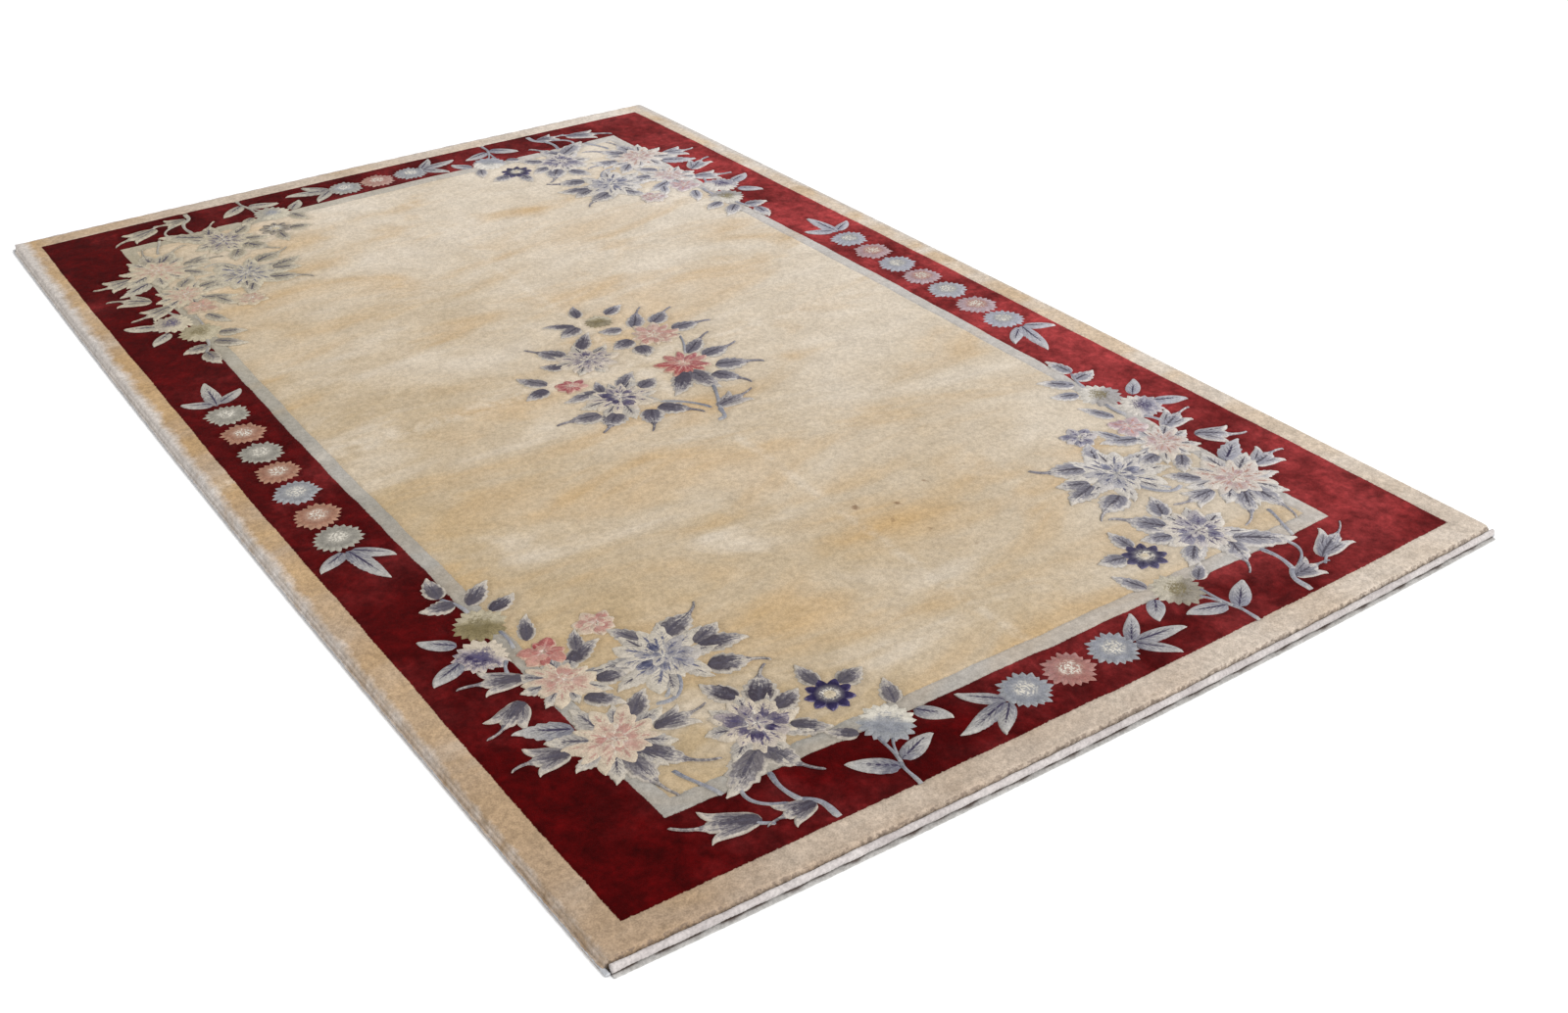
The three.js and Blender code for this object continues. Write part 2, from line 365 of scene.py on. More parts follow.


# Motif silks. A motif's own heart is dyed deepest, then its body, and its tips and edges are pale.
# The eye is the dotted middle of a round head, ink is the colour of its drawn veins, and the last column is
# how far the nap's painted sheen can turn it pale.
MotifSilk = namedtuple(
    "MotifSilk", "pale body heart ink heart_end tip_start edge_start eye bleach", defaults=(0.78,)
)
MOTIF_SILKS = {
    "leaf": MotifSilk("#b8afa2", "#8d888a", "#433d46", "#4f4b55", 0.74, 0.56, 0.56, 0.0),
    "deep_leaf": MotifSilk("#b7afa4", "#918c8f", "#4f4a54", "#4a4651", 0.82, 0.68, 0.58, 0.0),
    "sepal": MotifSilk("#b9b0a2", "#8f8c8d", "#464049", "#4f4b55", 0.52, 0.40, 0.56, 0.0),
    "border_leaf": MotifSilk("#b8b3aa", "#a29f9c", "#6d6c76", "#3a344a", 0.54, 0.80, 0.86, 0.0),
    "stem": MotifSilk("#aaa7a1", "#8d8d94", "#5d5f6b", "#82838b", 0.40, 0.80, 0.70, 0.0),
    "rose": MotifSilk("#bfb19d", "#b8a391", "#a5706a", "#a98479", 0.84, 0.64, 0.56, 0.14),
    "deep_rose": MotifSilk("#bfa894", "#a96a64", "#8b383d", "#b5857c", 0.92, 0.76, 0.54, 0.10),
    "violet": MotifSilk("#bdb1a0", "#a59b9f", "#322a49", "#4f4964", 1.02, 0.84, 0.70, 0.14, 0.66),
    "blue": MotifSilk("#bab1a3", "#9e9ca2", "#3d3f58", "#585a70", 1.02, 0.84, 0.70, 0.14),
    "aster": MotifSilk("#8f87a0", "#3f385c", "#2a2442", "#2a2442", 0.95, 0.92, 0.74, 0.16, 0.24),
    "slate": MotifSilk("#c8c2b6", "#949597", "#7b7d85", "#85878e", 0.98, 1.30, 0.93, 0.34),
    "sky": MotifSilk("#c9c6c2", "#9c9d9f", "#7e7e82", "#8a8b8e", 0.98, 1.30, 0.93, 0.34),
    "sage": MotifSilk("#c3b9a4", "#9e9a8f", "#7f7b74", "#8b877e", 0.98, 1.30, 0.93, 0.32),
    "salmon": MotifSilk("#cdb8ab", "#a3766d", "#905e57", "#98675e", 0.98, 1.30, 0.93, 0.34),
    "tan": MotifSilk("#c0a78e", "#a5806c", "#8b6352", "#97705d", 0.98, 1.30, 0.93, 0.32),
    "ochre": MotifSilk("#aba18a", "#85795b", "#6b6043", "#756a4c", 0.98, 1.20, 0.90, 0.30),
    "cream": MotifSilk("#c4b8a3", "#beb19a", "#aa9c84", "#beb19a", 0.60, 0.60, 0.80, 0.0),
}


def make_motif_material(silk_name):
    """Dyed silk knots, clipped to a low crown: streaked from the motif's heart out to its pale tips."""
    silk = MOTIF_SILKS[silk_name]
    material, tree = new_material(f"silk_{silk_name}")
    place = add(tree, "TexCoord").outputs["Object"]
    blade = add(tree, "Attribute", attribute_name="blade").outputs["Vector"]
    parts = add(tree, "SeparateXYZ", {"Vector": blade})
    along, across, tone = (parts.outputs[axis] for axis in "XYZ")
    side = add(tree, "Math", {0: across}, operation="ABSOLUTE")

    # Two noises make the dye's edge ragged: streaks along the motif, and knots
    streaks = add(tree, "VectorMath", {0: blade, 1: (1.6, 8.0, 40.0)}, operation="MULTIPLY")
    streaks = add(tree, "TexNoise", {"Vector": streaks, "Scale": 1.0, "Detail": 2.0})
    knots = add(tree, "TexNoise", {"Vector": place, "Scale": 190.0, "Detail": 3.0})
    both = add(tree, "Math", {0: streaks, 1: knots}, operation="ADD")
    both = add(tree, "Math", {0: both, 1: 1.0}, operation="SUBTRACT")
    ragged = add(tree, "Math", {0: both, 1: 0.75, 2: along}, operation="MULTIPLY_ADD")
    ragged_side = add(tree, "Math", {0: both, 1: 0.35, 2: side}, operation="MULTIPLY_ADD")

    heart_edge = {"From Min": silk.heart_end, "From Max": silk.heart_end - 0.4}
    heart = add(tree, "MapRange", {"Value": ragged, **heart_edge})
    heart = add(tree, "Math", {0: heart, 1: tone}, operation="MULTIPLY")
    colour = add(tree, "Mix", {"Factor": heart, "A": silk.body, "B": silk.heart}, data_type="RGBA")
    pale_edges = (
        (ragged, silk.tip_start, silk.tip_start + 0.3, 0.95),
        (ragged_side, silk.edge_start, silk.edge_start + 0.25, 0.85),
        (tone, 0.75, 0.1, 1.0),
    )
    pales = [
        add(tree, "MapRange", {"Value": value, "From Min": low, "From Max": high, "To Max": most})
        for value, low, high, most in pale_edges
    ]
    pale = add(tree, "Math", {0: pales[0], 1: pales[1]}, operation="MAXIMUM")
    pale = add(tree, "Math", {0: pale, 1: pales[2]}, operation="MAXIMUM")
    colour = add(tree, "Mix", {"Factor": pale, "A": colour, "B": silk.pale}, data_type="RGBA")

    # Painted sheen: the nap's sheen turns the whole motif pale on the rug's right side; and age yellows it at
    # the far left
    nap_sheen = add_nap_sheen(tree, place, MOTIF_NAP_SHEEN)
    bleach = add(tree, "MapRange", {"Value": nap_sheen, "From Min": 0.45, "From Max": 1.0, "To Max": silk.bleach})
    painted_sheen_share = add(tree, "Math", {0: pale, 1: 0.25, 2: 0.75}, operation="MULTIPLY_ADD")
    bleach = add(tree, "Math", {0: bleach, 1: painted_sheen_share}, operation="MULTIPLY")
    sheen_lit = add(tree, "Mix", {"Factor": pale, "A": SHEEN_LIT_BODY, "B": SHEEN_LIT_TIPS}, data_type="RGBA")
    colour = add(tree, "Mix", {"Factor": bleach, "A": colour, "B": sheen_lit}, data_type="RGBA")
    aged = add_far_left(tree, place, 0.8, 0.3, 0.62)
    colour = add(tree, "Mix", {"Factor": aged, "A": colour, "B": MOTIF_AGED_TINT}, data_type="RGBA")

    # Veins: a midrib, and short strokes that run out from it at a slant
    slant = add(tree, "Math", {0: side, 1: -0.4, 2: along}, operation="MULTIPLY_ADD")
    wave = add(tree, "Math", {0: slant, 1: 44.0}, operation="MULTIPLY")
    wave = add(tree, "Math", {0: wave}, operation="SINE")
    stroke = add(tree, "MapRange", {"Value": wave, "From Min": 0.35, "From Max": 0.95, "To Max": 0.75})
    reach = add(tree, "MapRange", {"Value": side, "From Min": 0.55, "From Max": 0.3})
    stroke = add(tree, "Math", {0: stroke, 1: reach}, operation="MULTIPLY")
    rib = add(tree, "MapRange", {"Value": side, "From Min": 0.15, "From Max": 0.07})
    vein = add(tree, "Math", {0: stroke, 1: rib}, operation="MAXIMUM")
    for value, low, high in ((ragged, 0.72, 0.55), (knots, 0.32, 0.44)):
        share = add(tree, "MapRange", {"Value": value, "From Min": low, "From Max": high})
        vein = add(tree, "Math", {0: vein, 1: share}, operation="MULTIPLY")
    colour = add(tree, "Mix", {"Factor": vein, "A": colour, "B": silk.ink}, data_type="RGBA")
    if silk.eye:
        dashes = add(tree, "TexNoise", {"Vector": place, "Scale": 310.0, "Detail": 1.0})
        dashes = add(tree, "MapRange", {"Value": dashes, "From Min": 0.48, "From Max": 0.55})
        eye_edge = {"From Min": silk.eye + 0.12, "From Max": silk.eye - 0.06}
        eye = add(tree, "MapRange", {"Value": along, **eye_edge})
        dashes = add(tree, "Math", {0: dashes, 1: eye}, operation="MULTIPLY")
        halo_edge = {"From Min": silk.eye + 0.3, "From Max": 0.1, "To Max": 0.25}
        halo = add(tree, "MapRange", {"Value": along, **halo_edge})
        for share in (halo, dashes):
            colour = add(tree, "Mix", {"Factor": share, "A": colour, "B": EYE_TINT}, data_type="RGBA")
    fibres, bump = add_fibres(tree, place)
    shade = add(tree, "MapRange", {"Value": fibres, **FIBRE_SPREAD, "To Min": 0.75, "To Max": 1.19})
    # Painted shade along the motif's outline, where its rim rolls down into the bed
    rim_shade_edge = {"From Min": 0.86, "From Max": 1.0, "To Min": 1.0, "To Max": 0.55}
    rim = add(tree, "MapRange", {"Value": side, **rim_shade_edge})
    shade = add(tree, "Math", {0: shade, 1: rim}, operation="MULTIPLY")
    finish_silk(tree, colour, shade, bump)
    return material


def make_cotton_material(name, light, dark, thread_mm):
    """Undyed cotton yarn: dull and slightly soiled, with painted shadow where it is tucked in under the roll,
    and threads in relief.
    """
    material, tree = new_material(name)
    place = add(tree, "TexCoord").outputs["Object"]
    soil = add(tree, "TexNoise", {"Vector": place, "Scale": 28.0, "Detail": 5.0})
    soil = add(tree, "MapRange", {"Value": soil, **NOISE_SPREAD})
    colour = add(tree, "Mix", {"Factor": soil, "A": dark, "B": light}, data_type="RGBA")
    # Painted shadow where the web is tucked in under the roll
    roll_shadow = add(tree, "Attribute", attribute_name="roll_shadow").outputs["Fac"]
    colour = add(tree, "Mix", {"Factor": roll_shadow, "A": colour, "B": ROLL_SHADOW_TINT}, data_type="RGBA")
    knotty = add(tree, "TexNoise", {"Vector": place, "Scale": 260.0, "Detail": 3.0})
    knotty_range = {"From Min": 0.35, "From Max": 0.6, "To Min": 0.8, "To Max": 1.06}
    knotty = add(tree, "MapRange", {"Value": knotty, **knotty_range})
    colour = add(tree, "VectorMath", {0: colour, 3: knotty}, operation="SCALE")
    threads = {"Vector": place, "Scale": 1000 / thread_mm, "Detail": 2.0, "Roughness": 0.6}
    threads = add(tree, "TexNoise", threads)
    bump = add(tree, "Bump", {"Height": threads, "Strength": 1.0, "Distance": THREAD_RELIEF})
    inputs = {"Base Color": colour, "Normal": bump, "Roughness": 0.85}
    inputs.update({"Sheen Weight": 0.1, "Specular IOR Level": 0.2})
    finish_material(tree, add(tree, "BsdfPrincipled", inputs))
    return material


# Shapes of blades. Each gives the half width, as a part of the greatest one, from base (0) to tip (1).
def teeth(u):
    """Saw teeth that grow towards the tip, for a jagged outline."""
    return 1 + 0.34 * ((5 * u) % 1 - 0.5) * smooth(u, 0.15, 0.5)


def leaf_shape(u):
    return max(0.05, 2.7 * u ** 0.5 * (1 - u) ** 1.1 * teeth(u))


def whip_shape(u):
    w = u / 0.7
    body = 2.7 * w ** 0.5 * (1 - w) ** 1.1 * teeth(w) if w < 1 else 0
    return max(body, 0.2 - 0.14 * u)


def smooth_leaf_shape(u):
    return max(0.05, 2.46 * u ** 0.5 * (1 - u) ** 0.9)


def petal_shape(u):
    if u < 0.5:
        return 0.3 + 0.7 * math.sin(math.pi * u)
    return max(0.05, 1 - ((u - 0.5) / 0.5) ** 1.7) * (1 + 0.06 * math.sin(40 * u))


def stem_shape(u):
    return 0.86 + 0.14 * math.cos(7 * u)


# Where a blade's dye is taken from: its own place, or for a drawn-out tip the deep part again.
def plain_dye(u, v):
    return u, v


def whip_dye(u, v):
    return (1.3 * u, v) if u < 0.6 else (0.62, 0.5 * v)


# sweep is how far a blade's sides run ahead of its midrib, as a part of its length.
Blade = namedtuple("Blade", "shape dye sweep steps_along steps_across")
BLADES = {
    "leaf": Blade(leaf_shape, plain_dye, 0.05, 20, 6),
    "smooth_leaf": Blade(smooth_leaf_shape, plain_dye, 0.0, 14, 6),
    "whip": Blade(whip_shape, whip_dye, 0.05, 28, 6),
    "petal": Blade(petal_shape, plain_dye, 0.0, 10, 6),
    "stem": Blade(stem_shape, plain_dye, 0.0, 14, 4),
}


class Spray:
    """One group of motifs on the way: its mesh so far, its silks, how it is mirrored, and its odd flowers."""

    def __init__(self, mirror, odd_flowers):
        self.mesh = bmesh.new()
        self.blade = self.mesh.verts.layers.float_vector.new("blade")
        self.silks = []
        self.mirror = mirror
        self.odd_flowers = odd_flowers

    def slot(self, silk):
        if silk not in self.silks:
            self.silks.append(silk)
        return self.silks.index(silk)


def spine_between(base, tip, curl):
    """A cubic spine from base to tip that sways to one side by curl, a part of its length."""
    base, tip = Vector(base) * MM, Vector(tip) * MM
    run = tip - base
    side = Vector((-run.y, run.x))
    return base, base + 0.35 * run - 0.3 * curl * side, base + 0.72 * run + curl * side, tip


def on_spine(spine, u):
    """The point at u on a spine, and the unit vector to its left there."""
    a, b, c, d = spine
    w = 1 - u
    point = a * w ** 3 + 3 * b * w * w * u + 3 * c * w * u * u + d * u ** 3
    run = (b - a) * w * w + 2 * (c - b) * w * u + (d - c) * u * u
    return point, Vector((-run.y, run.x)).normalized()


def crowned(across, end, crown):
    """The height of a motif's surface: a low crown that rolls down into the bed at its rim."""
    rim = max(abs(across) ** 5, end ** 2)
    return PILE_TOP + crown * (1 - across * across) - (BED_DEPTH + crown + 0.3 * MM) * rim


def dye_faces(spray, verts, silk):
    slot = spray.slot(silk)
    for face in {face for vert in verts for face in vert.link_faces}:
        face.material_index = slot


def lay_blade(spray, kind, silk, spine, width_mm, tone=1.0, crown=CROWN):
    """Lay a leaf, petal or stem along its spine."""
    blade = BLADES[kind]
    made = bmesh.ops.create_grid(
        spray.mesh, x_segments=blade.steps_along, y_segments=blade.steps_across, size=0.5
    )
    half = 0.5 * width_mm * MM
    for vert in made["verts"]:
        u = vert.co.x + 0.5
        v = 2 * vert.co.y
        v = math.copysign(abs(v) ** 0.8, v)
        ahead = blade.sweep * v * v * math.sin(math.pi * min(1.0, 1.6 * u))
        point, left = on_spine(spine, u + ahead)
        place = point + left * (half * v * blade.shape(u))
        end = max(0.0, 1 - u / 0.07, 1 - (1 - u) / 0.05)
        vert.co = (place.x * spray.mirror[0], place.y * spray.mirror[1], crowned(v, end, crown))
        vert[spray.blade] = (*blade.dye(u, v), tone)
    dye_faces(spray, made["verts"], silk)


def lay_head(spray, silk, place, radius_mm, rays=20, tone_side=None, tone=1.0, crown=1.4 * CROWN):
    """Lay a round head of pointed rays. Given a tone_side angle, only that side is dyed, with no eye."""
    steps_round = rays * 4
    draw = random.Random(round(place[0]))
    lengths = [draw.uniform(0.92, 1.08) for _ in range(rays + 1)]
    made = bmesh.ops.create_grid(spray.mesh, x_segments=steps_round, y_segments=8, size=0.5)
    centre = Vector(place) * MM
    for vert in made["verts"]:
        turn = (vert.co.x + 0.5) * 2 * math.pi
        out = vert.co.y + 0.5
        number = round((vert.co.x + 0.5) * steps_round) / 4 + 0.5
        ray = abs(number % 1 - 0.5) * 2
        length = lengths[int(number) % rays]
        radius = radius_mm * MM * out * (1.02 * length - 0.18 * ray * smooth(out, 0.5, 0.95))
        spot = centre + radius * Vector((math.cos(turn), math.sin(turn)))
        height = crowned(out ** 1.5, 0, crown) - 0.6 * MM * ray * smooth(out, 0.35, 0.9) * (1 - out ** 6)
        along, dyed = out, tone
        if tone_side is not None:
            along = 0.45 + 0.55 * out
            dyed = tone * smooth(math.cos(turn - math.radians(tone_side)) * out, -0.35, 0.3)
        vert.co = (spot.x * spray.mirror[0], spot.y * spray.mirror[1], height)
        vert[spray.blade] = (along, ray * smooth(out, 0.4, 0.8), dyed)
    dye_faces(spray, made["verts"], silk)
    bmesh.ops.remove_doubles(spray.mesh, verts=made["verts"], dist=0.02 * MM)


# Rings of a flower, from the outside in. A peony stands on pale sepals, its outer petals are undyed, and
# the next ones have the dark hearts.
Ring = namedtuple("Ring", "kind petals start reach fullness tone_low tone_high lift_mm")
PEONY_RINGS = (
    Ring("leaf", 8, 0.50, 1.22, 1.1, 0.2, 0.6, -0.3),
    Ring("petal", 10, 0.25, 1.00, 1.7, 0.0, 0.25, 0.0),
    Ring("petal", 8, 0.15, 0.80, 1.8, 0.05, 0.6, 0.25),
    Ring("petal", 7, 0.10, 0.62, 2.1, 0.3, 1.0, 0.45),
    Ring("petal", 5, 0.00, 0.32, 2.0, 0.0, 0.7, 0.75),
)
DAHLIA_RINGS = (
    Ring("petal", 10, 0.15, 1.00, 1.5, 0.6, 1.0, 0.0),
    Ring("petal", 7, 0.08, 0.66, 1.6, 0.5, 1.0, 0.35),
    Ring("petal", 4, 0.00, 0.28, 2.0, 0.0, 0.5, 0.6),
)
BUD_RINGS = (
    Ring("petal", 7, 0.10, 1.00, 1.9, 0.4, 1.0, 0.0),
    Ring("petal", 5, 0.05, 0.55, 2.0, 0.2, 0.8, 0.4),
)
FLOWER_RINGS = {"peony": PEONY_RINGS, "dahlia": DAHLIA_RINGS, "bud": BUD_RINGS}


def lay_peony(spray, silk, place, radius_mm, seed, rings):
    """Lay an open flower of overlapping petals, its dye stronger on some petals than on others."""
    draw = random.Random(seed)
    centre = Vector(place)
    for ring in rings:
        turn = draw.uniform(0, 2 * math.pi)
        for petal in range(ring.petals):
            angle = turn + 2 * math.pi * (petal + draw.uniform(-0.16, 0.16)) / ring.petals
            out = Vector((math.cos(angle), math.sin(angle)))
            reach = radius_mm * ring.reach * draw.uniform(0.78, 1.2)
            width = ring.fullness * reach * math.sin(math.pi / ring.petals) * draw.uniform(0.75, 1.15)
            spine = spine_between(
                centre + out * radius_mm * ring.start, centre + out * reach, draw.uniform(-0.15, 0.15)
            )
            tone = draw.uniform(ring.tone_low, ring.tone_high)
            dye = "sepal" if ring.kind == "leaf" else silk
            lay_blade(spray, ring.kind, dye, spine, width, tone, 1.5 * CROWN + ring.lift_mm * MM)


def lay_aster(spray, place, radius_mm):
    """Lay a small flower of nine narrow dark petals round a pale heart."""
    centre = Vector(place)
    for petal in range(9):
        angle = 2 * math.pi * (petal + 0.3) / 9
        out = Vector((math.cos(angle), math.sin(angle)))
        spine = spine_between(centre + out * radius_mm * 0.2, centre + out * radius_mm, 0)
        lay_blade(spray, "petal", "aster", spine, radius_mm * 0.54)
    lay_head(spray, "cream", place, radius_mm * 0.28, rays=9)


# Tables of motifs, in millimetres on the plan. The corner is the near left one.
Leaf = namedtuple("Leaf", "kind base tip width curl")
Stem = namedtuple("Stem", "points width")
Flower = namedtuple("Flower", "kind silk place radius")

CORNER_FIELD_LEAVES = (
    Leaf("leaf", (478, -585), (420, -576), 28, 0.1),
    Leaf("leaf", (516, -558), (474, -508), 30, 0.1),
    Leaf("leaf", (547, -539), (524, -493), 27, -0.1),
    Leaf("leaf", (503, -571), (492, -621), 30, 0.1),
    Leaf("leaf", (637, -532), (580, -502), 23, 0.1),
    Leaf("lobed", (895, -489), (887, -410), 38, -0.15),
    Leaf("leaf", (859, -502), (818, -456), 29, 0.1),
    Leaf("leaf", (787, -529), (832, -492), 27, 0.1),
    Leaf("leaf", (766, -499), (773, -452), 31, 0.0),
    Leaf("leaf", (713, -513), (689, -450), 28, 0.1),
    Leaf("leaf", (697, -490), (650, -466), 21, 0.1),
    Leaf("whip", (737, -379), (686, -303), 42, -0.2),
    Leaf("leaf", (771, -353), (748, -303), 34, 0.0),
    Leaf("leaf", (776, -353), (801, -287), 36, 0.1),
    Leaf("whip", (821, -366), (860, -292), 40, 0.15),
    Leaf("leaf", (724, -408), (676, -437), 28, -0.1),
    Leaf("whip", (927, -358), (862, -303), 42, 0.15),
    Leaf("leaf", (905, -374), (850, -398), 32, 0.1),
    Leaf("leaf", (950, -345), (931, -299), 30, 0.0),
    Leaf("leaf", (987, -353), (1019, -307), 31, -0.1),
    Leaf("whip", (997, -408), (1080, -363), 36, -0.15),
    Leaf("leaf", (1003, -410), (1055, -489), 42, 0.1),
    Leaf("whip", (908, -540), (990, -452), 36, -0.2),
    Leaf("whip", (908, -546), (1018, -530), 38, -0.12),
    Leaf("leaf", (953, -250), (942, -206), 31, 0.0),
    Leaf("leaf", (939, -276), (887, -276), 25, 0.0),
    Leaf("leaf", (1026, -218), (975, -199), 25, 0.0),
    Leaf("leaf", (1050, -292), (1022, -326), 22, 0.0),
)
CORNER_BORDER_LEAVES = (
    Leaf("smooth_leaf", (595, -613), (555, -653), 27, 0.1),
    Leaf("smooth_leaf", (631, -624), (660, -676), 31, -0.1),
    Leaf("lobed", (708, -571), (682, -656), 42, -0.1),
    Leaf("lobed", (753, -595), (795, -669), 44, 0.2),
    Leaf("leaf", (839, -571), (804, -640), 32, -0.1),
    Leaf("lobed", (874, -597), (868, -672), 44, -0.2),
    Leaf("smooth_leaf", (1050, -208), (1092, -177), 29, 0.1),
    Leaf("smooth_leaf", (1118, -279), (1101, -217), 31, 0.1),
    Leaf("smooth_leaf", (1129, -288), (1086, -342), 33, 0.0),
    Leaf("lobed", (1121, -408), (1124, -478), 36, -0.1),
    Leaf("lobed", (1111, -476), (1060, -572), 44, 0.15),
)
CORNER_STEMS = (
    Stem(((480, -584), (495, -575), (510, -566), (532, -566)), 7),
    Stem(((594, -552), (610, -549), (625, -549), (642, -554)), 7),
    Stem(((660, -573), (672, -584), (680, -583), (694, -588)), 7),
    Stem(((795, -405), (850, -408), (868, -440), (852, -462)), 8),
    Stem(((813, -450), (805, -425), (835, -418), (848, -446)), 7),
    Stem(((976, -513), (1000, -510), (1020, -495), (1047, -489)), 7),
    Stem(((1045, -421), (1075, -431), (1095, -424), (1112, -418)), 9),
    Stem(((1106, -422), (1122, -400), (1122, -400), (1158, -401)), 11),
    Stem(((1105, -434), (1095, -455), (1080, -478), (1050, -466)), 6),
    Stem(((1124, -466), (1120, -474), (1114, -480), (1108, -490)), 6),
    Stem(((1066, -276), (1085, -280), (1105, -276), (1126, -285)), 6),
    Stem(((1079, -262), (1090, -272), (1100, -274), (1108, -279)), 5),
    Stem(((1120, -283), (1135, -290), (1148, -286), (1166, -288)), 7),
)
CORNER_FLOWERS = (
    Flower("half_head", "ochre", (566, -567), 40),
    Flower("half_head", "violet", (633, -596), 40),
    Flower("half_head", "slate", (1052, -250), 40),
    Flower("bud", "rose", (656, -438), 30),
    Flower("bud", "deep_rose", (674, -527), 32),
    Flower("peony", "rose", (744, -534), 50),
    Flower("peony", "rose", (888, -540), 62),
    Flower("peony", "blue", (774, -404), 66),
    Flower("peony", "violet", (962, -384), 62),
    Flower("aster", "aster", (965, -275), 34),
)
HALF_HEAD_SIDES = {"ochre": -30, "violet": -55, "slate": -40}

CENTRE_LEAVES = (
    Leaf("leaf", (-198, 63), (-217, 108), 26, 0.1),
    Leaf("leaf", (-215, 13), (-263, 32), 23, 0.1),
    Leaf("leaf", (-185, -7), (-211, -62), 22, -0.2),
    Leaf("leaf", (-178, -5), (-156, -52), 33, 0.0),
    Leaf("leaf", (-122, 54), (-140, 14), 29, 0.1),
    Leaf("whip", (-115, 113), (-157, 178), 32, 0.1),
    Leaf("whip", (-76, 130), (-65, 206), 34, 0.1),
    Leaf("whip", (-120, 76), (-190, 132), 30, 0.1),
    Leaf("leaf", (-76, 47), (-60, 0), 35, 0.0),
    Leaf("leaf", (-48, 48), (-3, 36), 35, 0.1),
    Leaf("whip", (26, 100), (-26, 177), 30, 0.1),
    Leaf("whip", (52, 117), (35, 194), 34, -0.1),
    Leaf("whip", (93, 115), (131, 191), 40, 0.15),
    Leaf("whip", (117, 93), (184, 129), 36, 0.15),
    Leaf("leaf", (87, 64), (170, 78), 40, -0.1),
    Leaf("leaf", (87, 61), (152, -4), 36, 0.1),
    Leaf("lobed", (228, 34), (202, 117), 40, -0.1),
    Leaf("leaf", (-93, -50), (-149, 2), 28, 0.1),
    Leaf("whip", (-85, -82), (-151, -129), 38, 0.0),
    Leaf("leaf", (-50, -103), (-75, -138), 26, 0.0),
    Leaf("leaf", (72, -63), (34, -14), 30, 0.1),
    Leaf("leaf", (93, -35), (77, 4), 33, 0.0),
    Leaf("leaf", (74, -98), (29, -86), 20, 0.0),
    Leaf("leaf", (63, -103), (66, -167), 27, 0.1),
    Leaf("leaf", (-7, -159), (-60, -191), 28, 0.1),
    Leaf("leaf", (7, -166), (23, -214), 30, 0.0),
    Leaf("whip", (150, -111), (194, -164), 42, 0.1),
    Leaf("whip", (139, -137), (130, -214), 36, -0.1),
    Leaf("whip", (167, -46), (229, 7), 36, 0.1),
    Leaf("whip", (170, -59), (236, -97), 36, 0.1),
)
CENTRE_STEMS = (
    Stem(((-52, 128), (-30, 124), (-10, 116), (24, 96)), 6),
    Stem(((150, 72), (178, 62), (205, 48), (240, 32)), 9),
    Stem(((232, 34), (250, 28), (268, 30), (264, 10)), 10),
    Stem(((222, 24), (196, 14), (175, -2), (154, -34)), 6),
)
CENTRE_FLOWERS = (
    Flower("half_head", "ochre", (-180, 38), 28),
    Flower("dahlia", "rose", (-70, 88), 48),
    Flower("dahlia", "deep_rose", (60, 72), 50),
    Flower("peony", "violet", (-50, -56), 50),
    Flower("peony", "violet", (106, -82), 56),
    Flower("bud", "deep_rose", (22, -128), 27),
)

# Rows of round heads in the red border, each ended by three leaves
LONG_ROW_Y = -636
LONG_ROW = (
    ("slate", -225), ("salmon", -146), ("slate", -68), ("salmon", 7),
    ("sky", 84), ("salmon", 168), ("slate", 245),
)
LONG_ROW_LEAVES = (
    Leaf("smooth_leaf", (-266, -638), (-362, -628), 32, 0.05),
    Leaf("smooth_leaf", (-272, -632), (-306, -584), 27, -0.1),
    Leaf("smooth_leaf", (-272, -642), (-304, -688), 27, 0.1),
    Leaf("smooth_leaf", (286, -640), (388, -614), 32, -0.05),
    Leaf("smooth_leaf", (288, -634), (337, -584), 27, 0.1),
    Leaf("smooth_leaf", (288, -644), (322, -692), 27, -0.1),
)
SHORT_ROW_X = 1101
SHORT_ROW = (("slate", 83), ("salmon", 6), ("slate", -69))
SHORT_ROW_LEAVES = (
    Leaf("smooth_leaf", (1106, 118), (1122, 198), 29, 0.1),
    Leaf("smooth_leaf", (1104, 114), (1054, 157), 25, -0.1),
    Leaf("smooth_leaf", (1108, 114), (1160, 152), 25, 0.1),
    Leaf("smooth_leaf", (1106, -104), (1124, -194), 29, 0.1),
    Leaf("smooth_leaf", (1104, -102), (1055, -147), 25, 0.1),
    Leaf("smooth_leaf", (1108, -102), (1156, -147), 25, -0.1),
)
HEAD_RADIUS = 38


def lay_lobed(spray, silk, leaf, tone):
    """Lay a leaf of three points: a body with a drawn-out tip, and a hooked spike on either side of it."""
    spine = spine_between(leaf.base, leaf.tip, leaf.curl)
    root = on_spine(spine, 0.06)[0]
    for side, reach in ((-1, 0.64), (1, 0.56)):
        spot, left = on_spine(spine, reach)
        tip = spot + left * (side * 0.68 * leaf.width * MM)
        lobe = spine_between(root / MM, tip / MM, -0.22 * side)
        lay_blade(spray, "smooth_leaf", silk, lobe, 0.5 * leaf.width, 0.7 * tone, CROWN)
    lay_blade(spray, "whip", silk, spine, 0.86 * leaf.width, tone, 1.4 * CROWN)


def lay_leaves(spray, leaves, silk, draw):
    for leaf in leaves:
        tone = draw.uniform(0.7, 1.0)
        if leaf.kind == "lobed":
            lay_lobed(spray, silk, leaf, tone)
        else:
            spine = spine_between(leaf.base, leaf.tip, leaf.curl)
            width = leaf.width if leaf.kind == "smooth_leaf" else 1.25 * leaf.width
            lay_blade(spray, leaf.kind, silk, spine, width, tone, CROWN)


def lay_stems(spray, stems):
    for stem in stems:
        lay_blade(spray, "stem", "stem", [Vector(p) * MM for p in stem.points], stem.width, 0.9, 0.6 * CROWN)


